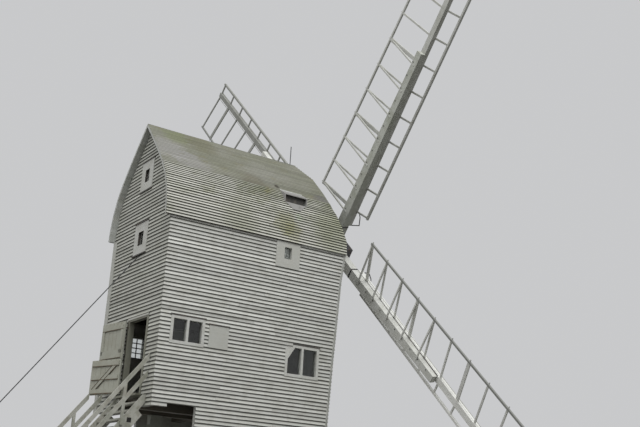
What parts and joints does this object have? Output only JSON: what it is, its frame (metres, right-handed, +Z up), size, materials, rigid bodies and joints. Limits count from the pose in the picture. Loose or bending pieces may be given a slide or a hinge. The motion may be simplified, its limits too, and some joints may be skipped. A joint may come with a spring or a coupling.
{
  "type": "windmill",
  "caption": "Boarded post mill on an open timber trestle, turning on its post, with lattice sails, tail stair, stable door and tail pole.",
  "frame": {"origin": "on the ground under the piers, in the middle of the plan with the mill at rest; the main post stands 1.85 m in front of it along +X", "axes": "+X from the tail towards the sails, +Z up along the post, +Y completes a right-handed set; the stair is on the -X side"},
  "size_m": [13.1155, 14.2492, 16.4064],
  "materials": {
    "black_iron": "black",
    "brick": "matt",
    "door_paint": "faded grey-green paint",
    "floor_board": "worn",
    "frame_paint": "white paint",
    "oak": "bare",
    "pane": "clear",
    "roof_board": "grey with lichen",
    "sail_wood": "weathered white paint",
    "stair_wood": "weathered pale paint",
    "stock_wood": "weathered pale paint",
    "tarred_oak": "tarred",
    "white_board": "weathered white paint",
    "wire": "dull"
  },
  "bodies": {
    "trestle": {"brick_piers": "brick", "lower_crosstree": "tarred_oak", "main_post": "tarred_oak", "quarter_bars": "tarred_oak", "upper_crosstree": "tarred_oak"},
    "buck": {"breast_wall": "white_board", "crown_tree": "oak", "door_frame": "frame_paint", "door_pintles": "black_iron", "far_wall": "white_board", "floor_beams": "oak", "floors": "floor_board", "handrails": "stair_wood", "lightning_rod": "wire", "near_wall": "white_board", "roof": "roof_board", "roof_hood": "roof_board", "shaft_beams": "oak", "side_girts": "oak", "side_shutters": "frame_paint", "stair_strings": "stair_wood", "stair_treads": "stair_wood", "stay_cable": "wire", "tail_pole": "stock_wood", "tail_wall_sides": "white_board", "tail_wall_upper": "white_board", "window_frames": "frame_paint", "window_glass": "pane"},
    "sails": {"inner_stock": "stock_wood", "outer_stock": "stock_wood", "poll_end": "black_iron", "sail_far_lower": "sail_wood", "sail_far_upper": "sail_wood", "sail_irons": "black_iron", "sail_near_lower": "sail_wood", "sail_near_upper": "sail_wood", "windshaft": "oak"},
    "lower_leaf": {"door_lower_leaf": "door_paint"},
    "upper_leaf": {"door_upper_leaf": "door_paint"}
  },
  "joints": [
    {"name": "buck_turn", "type": "hinge", "parent": "trestle", "child": "buck", "pos_m": [1.85, 0, 6.2], "axis": [0, 0, 1], "continuous": true},
    {"name": "sails_turn", "type": "hinge", "parent": "buck", "child": "sails", "pos_m": [4.93, 0, 9.34], "axis": [0.9833, 0, 0.1822], "continuous": true},
    {"name": "lower_leaf_hinge", "type": "hinge", "parent": "buck", "child": "lower_leaf", "pos_m": [-0.98, 0.04, 5], "axis": [0, 0, 1], "range_deg": [0, 162]},
    {"name": "upper_leaf_hinge", "type": "hinge", "parent": "buck", "child": "upper_leaf", "pos_m": [-0.98, 0.04, 6], "axis": [0, 0, 1], "range_deg": [0, 172]}
  ]
}
